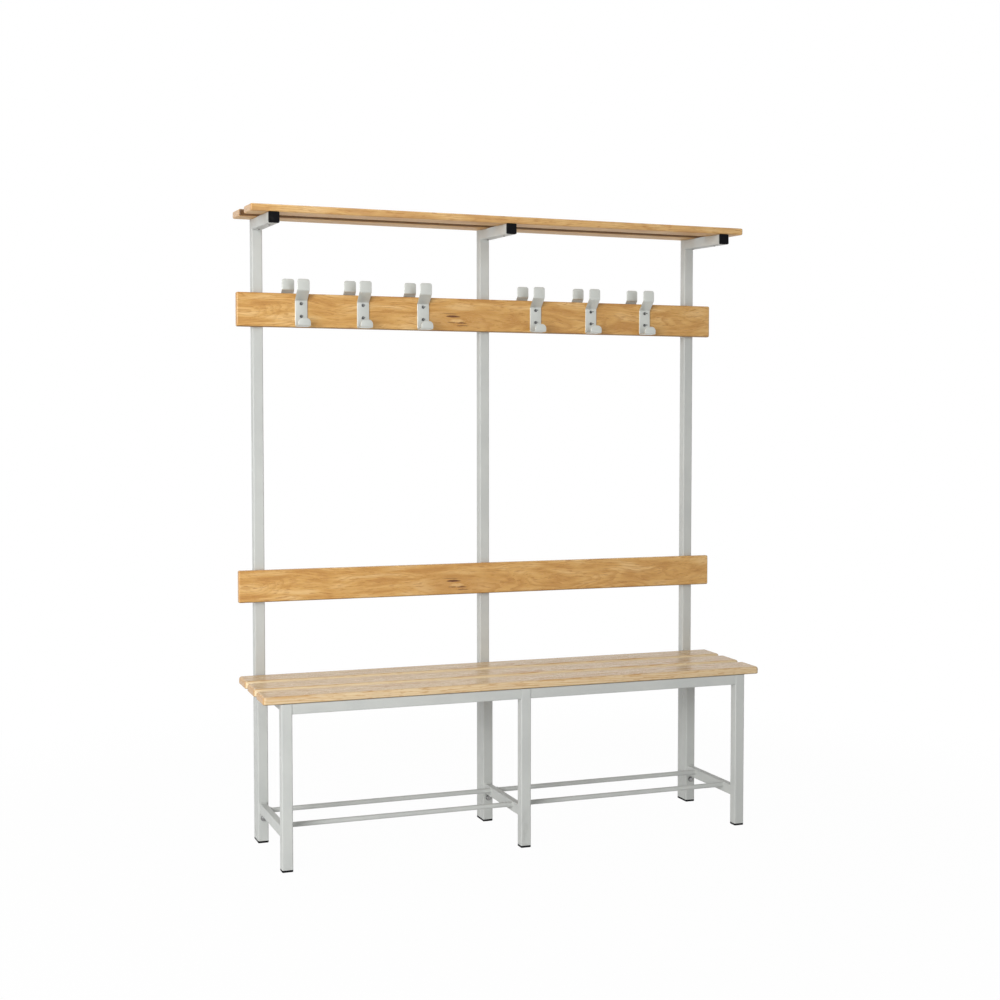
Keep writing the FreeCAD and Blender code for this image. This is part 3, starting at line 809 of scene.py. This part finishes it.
def front_hook():
    """A strip that starts at the prong, with the plate's back at Y 0 and the lowest point at Z 0."""
    middle = hook_thickness / 2
    turn = hook_prong_bend
    strip = flat_start("front_hook_strip", middle - hook_prong_reach, middle + turn, hook_prong_rise)
    open_edge(strip, middle + turn)
    bent(math.pi / 2, middle - hook_prong_reach + turn, middle + turn)
    run_on(hook_prong_reach - 2 * middle - 2 * turn, 0)
    bent(math.pi / 2, -middle - turn, middle + turn)
    run_on(0, hook_plate - neck_setback - middle - turn)
    neck_and_tip(strip)
    rounded_end(strip, hook_prong_rise, hook_prong_corner)
    return thickened(strip)


def rear_hook():
    """The same strip with its plate cut off short instead of turned out."""
    strip = flat_start("rear_hook_strip", -hook_thickness / 2, rear_hook_cut, hook_plate - neck_setback)
    open_edge(strip, hook_plate - neck_setback)
    neck_and_tip(strip)
    rounded_end(strip, rear_hook_cut, hook_tip_corner)
    return thickened(strip)


def copied(shape, name, offset):
    """A copy of a shape with a mesh of its own, moved in that mesh."""
    bpy.ops.object.select_all(action="DESELECT")
    shape.select_set(True)
    bpy.context.view_layer.objects.active = shape
    bpy.ops.object.duplicate()
    copy = bpy.context.object
    copy.name = name
    copy.data.name = name
    copy.location = offset
    bpy.ops.object.transform_apply(location=True, rotation=True, scale=True)
    return copy


def hook_seat(node_name, cut):
    """Where a hook's own zero lies on its board."""
    low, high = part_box(node_name)
    return Vector(((low.x + high.x) / 2, high.y, low.z - cut))


hook_coat = powder_coat("hook_powder_coat", hook_grey, hook_grey_thin, hook_roughness)
hook_coat.node_tree.nodes["Principled BSDF"].inputs["Metallic"].default_value = hook_metal
hook_rows = {"front": (front_hook(), 0.0), "rear": (rear_hook(), rear_hook_cut)}
for row, (pattern, cut) in hook_rows.items():
    for number in range(1, hooks_in_row + 1):
        node_name = "%s_hook_%d" % (row, number)
        strip = copied(pattern, node_name + "_strip", hook_seat(node_name, cut))
        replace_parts(finished(strip, hook_coat), node_name)
    bpy.data.objects.remove(pattern)


# Hook screws
# Two round-head screws hold each hook to its board, through the plate. They are rolled from steel wire,
# with a pressed cross recess in a domed head, and zinc plated to a smoky grey.
zinc_smoke = (0.17, 0.175, 0.185, 1.0)
zinc_brown = (0.13, 0.125, 0.12, 1.0)
screw_roughness = (0.16, 0.28)
screw_head = 0.0095
screw_rise = 0.0036
screw_shank = 0.005
screw_depth = 0.018
screw_low = 0.030
screw_high = 0.066
recess_span = 0.0052
recess_width = 0.0012
recess_depth = 0.0018
recess_turn = math.radians(18)
dome_steps = 40
shank_sides = 24


def screw_pattern():
    """A domed head on Z 0 with a cross recess, and a shank below it, turned to face the front."""
    dome = ((screw_head / 2) ** 2 + screw_rise ** 2) / (2 * screw_rise)
    screw = started("hook_screw", bpy.ops.mesh.primitive_uv_sphere_add, segments=dome_steps,
                    ring_count=dome_steps, radius=dome, location=(0, 0, screw_rise - dome))
    picked(screw, "FACE", lambda face: True)
    bpy.ops.mesh.bisect(plane_co=(0, 0, 0), plane_no=(0, 0, 1), use_fill=True, clear_inner=True)
    bpy.ops.object.mode_set(mode="OBJECT")
    arms = []
    for width, span in ((recess_span, recess_width), (recess_width, recess_span)):
        arms.append(started("recess_arm", bpy.ops.mesh.primitive_cube_add, size=1,
                            location=(0, 0, screw_rise), scale=(width, span, 2 * recess_depth)))
    for arm in arms:
        bpy.ops.object.select_all(action="DESELECT")
        screw.select_set(True)
        bpy.context.view_layer.objects.active = screw
        bpy.ops.object.modifier_add(type="BOOLEAN")
        screw.modifiers[-1].object = arm
        bpy.ops.object.modifier_apply(modifier=screw.modifiers[-1].name)
        bpy.data.objects.remove(arm)
    shank = started("hook_screw_shank", bpy.ops.mesh.primitive_cone_add, vertices=shank_sides,
                    radius1=screw_shank / 4, radius2=screw_shank / 2, depth=screw_depth,
                    location=(0, 0, -screw_depth / 2))
    screw = joined([screw, shank], "hook_screw")
    bpy.ops.object.mode_set(mode="EDIT")
    bpy.ops.mesh.select_all(action="SELECT")
    bpy.ops.transform.rotate(value=recess_turn, orient_axis="Z", center_override=(0, 0, 0))
    bpy.ops.transform.rotate(value=math.pi / 2, orient_axis="X", center_override=(0, 0, 0))
    bpy.ops.object.mode_set(mode="OBJECT")
    return screw


screw = screw_pattern()
dark_zinc = zinc_plate("dark_zinc_plate", zinc_smoke, zinc_brown, screw_roughness)
for row, (pattern, cut) in hook_rows.items():
    screws = []
    for number in range(1, hooks_in_row + 1):
        seat = hook_seat("%s_hook_%d" % (row, number), cut)
        for height in (screw_low, screw_high):
            screws.append(copied(screw, "hook_screw_copy", seat + Vector((0, -hook_thickness, height))))
    row_screws = finished(joined(screws, row + "_hook_cross_screws"), dark_zinc)
    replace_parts(row_screws, row + "_hook_screws")
bpy.data.objects.remove(screw)


# Studio
# A wide pale floor that keeps a soft shadow, a white surround, a large soft lamp on the left in front, about
# as high as the shelf, and another overhead.
floor_reach = 60.0
floor_sides = 96
floor_drop = 0.0005
shadow_reach = 1.2
floor_pale = (0.80, 0.80, 0.80, 1.0)
floor_whiteness = 0.98
surround_light = 0.22
key_place = Vector((-3.9, -3.87, 1.9))
key_aim = Vector((0.0, 0.0, 0.75))
key_size = 3.6
key_power = 236.0
top_place = Vector((-1.3, 0.1, 4.2))
top_aim = Vector((-1.0, 0.0, 0.0))
top_size = 4.5
top_power = 57.0


def seen_directly(tree):
    """One for rays that show the background itself, straight, in a reflection or through glass."""
    path = add_node(tree, "LightPath")
    mirrored = calculated(tree, "MAXIMUM", path.outputs["Is Camera Ray"], path.outputs["Is Glossy Ray"])
    return calculated(tree, "MAXIMUM", mirrored, path.outputs["Is Transmission Ray"])


floor = started("studio_floor", bpy.ops.mesh.primitive_circle_add, vertices=floor_sides, radius=floor_reach,
                fill_type="NGON", location=(0, 0, -floor_drop))
floor_finish, floor_tree, floor_surface, floor_place = new_finish("studio_floor")
floor_tree.nodes.remove(floor_surface)
matte = add_node(floor_tree, "BsdfDiffuse", {"Color": floor_pale}).outputs[0]
white = add_node(floor_tree, "Emission", {"Color": (1, 1, 1, 1), "Strength": 1.0}).outputs[0]
distance = add_node(floor_tree, "VectorMath", {0: floor_place}, operation="LENGTH").outputs["Value"]
whiteness = eased(floor_tree, distance, shadow_reach, 2 * shadow_reach, floor_whiteness, 1.0)
lift = product(floor_tree, seen_directly(floor_tree), whiteness)
shown = add_node(floor_tree, "MixShader", {0: lift, 1: matte, 2: white}).outputs[0]
floor_tree.links.new(shown, floor_tree.nodes["Material Output"].inputs["Surface"])
floor.data.materials.append(floor_finish)

surround = bpy.data.worlds.new("studio_surround")
bpy.context.scene.world = surround
surround.use_nodes = True
sky = surround.node_tree.nodes["Background"]
sky.inputs["Color"].default_value = (1, 1, 1, 1)
strength = calculated(surround.node_tree, "MULTIPLY_ADD", seen_directly(surround.node_tree),
                      1.0 - surround_light, surround_light)
surround.node_tree.links.new(strength, sky.inputs["Strength"])


def soft_lamp(name, place, aim, size, power):
    lamp_data = bpy.data.lights.new(name, "AREA")
    lamp_data.shape = "DISK"
    lamp_data.size = size
    lamp_data.energy = power
    lamp = bpy.data.objects.new(name, lamp_data)
    bpy.context.scene.collection.objects.link(lamp)
    lamp.location = place
    lamp.rotation_euler = (aim - place).to_track_quat("-Z", "Y").to_euler()


soft_lamp("key_lamp", key_place, key_aim, key_size, key_power)
soft_lamp("top_lamp", top_place, top_aim, top_size, top_power)


# Camera
# It stands to the left of the bench and in front of it, at about chest height, and looks slightly down.
# Its place is measured from the front face of the front legs.
camera_left = 1.5817
camera_before_legs = 3.9670
camera_height = 1.1926
camera_turn = math.radians(20.741)
camera_dip = math.radians(2.751)
camera_lens = 54.84
sensor_width = 36.0

camera_data = bpy.data.cameras.new("bench_camera")
camera_data.lens = camera_lens
camera_data.sensor_width = sensor_width
camera = bpy.data.objects.new("bench_camera", camera_data)
bpy.context.scene.collection.objects.link(camera)
leg_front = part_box("front_leg_left")[0].y
camera.location = (-camera_left, leg_front - camera_before_legs, camera_height)
camera.rotation_euler = (math.pi / 2 - camera_dip, 0.0, -camera_turn)
bpy.context.scene.camera = camera
bpy.context.scene.view_settings.view_transform = "Standard"
